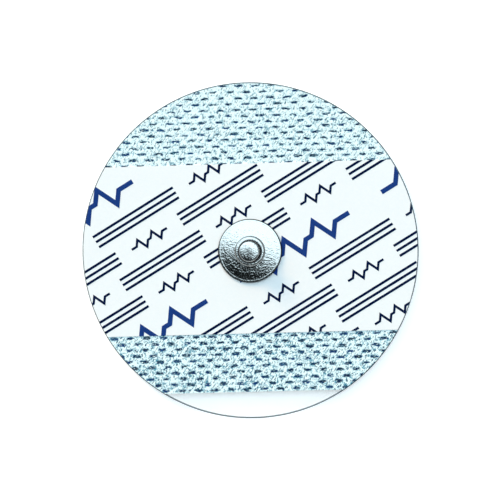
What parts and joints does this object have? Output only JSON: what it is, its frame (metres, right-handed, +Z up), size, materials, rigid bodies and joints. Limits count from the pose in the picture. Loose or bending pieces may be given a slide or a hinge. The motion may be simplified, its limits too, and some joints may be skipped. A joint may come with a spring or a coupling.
{
  "type": "ecg electrode",
  "caption": "Round disposable skin electrode with a printed label over soft tape, a metal snap stud in the middle, a gel pad and sensor below, and a clear liner with a bare lift edge.",
  "frame": {"origin": "on the snap stud's axis, at the bottom of the liner's pressed cup, which is what the electrode lies on", "axes": "+Z up out of the stud, +X along the printed label, +Y away from the straight cut and the liner's bare lift edge"},
  "size_m": [0.06, 0.06, 0.006],
  "materials": {
    "liner_film": "gloss",
    "gel_foam": "matte",
    "sensor_coating": "satin",
    "nonwoven": "matte",
    "label_white": "satin",
    "ink": "satin",
    "plated_metal": "satin"
  },
  "bodies": {
    "root": {"release_liner": "liner_film", "gel_pad": "gel_foam", "sensor_eyelet": "sensor_coating", "backing_tape": "nonwoven", "label_film": "label_white", "label_print": "ink", "snap_stud": "plated_metal"}
  },
  "joints": []
}
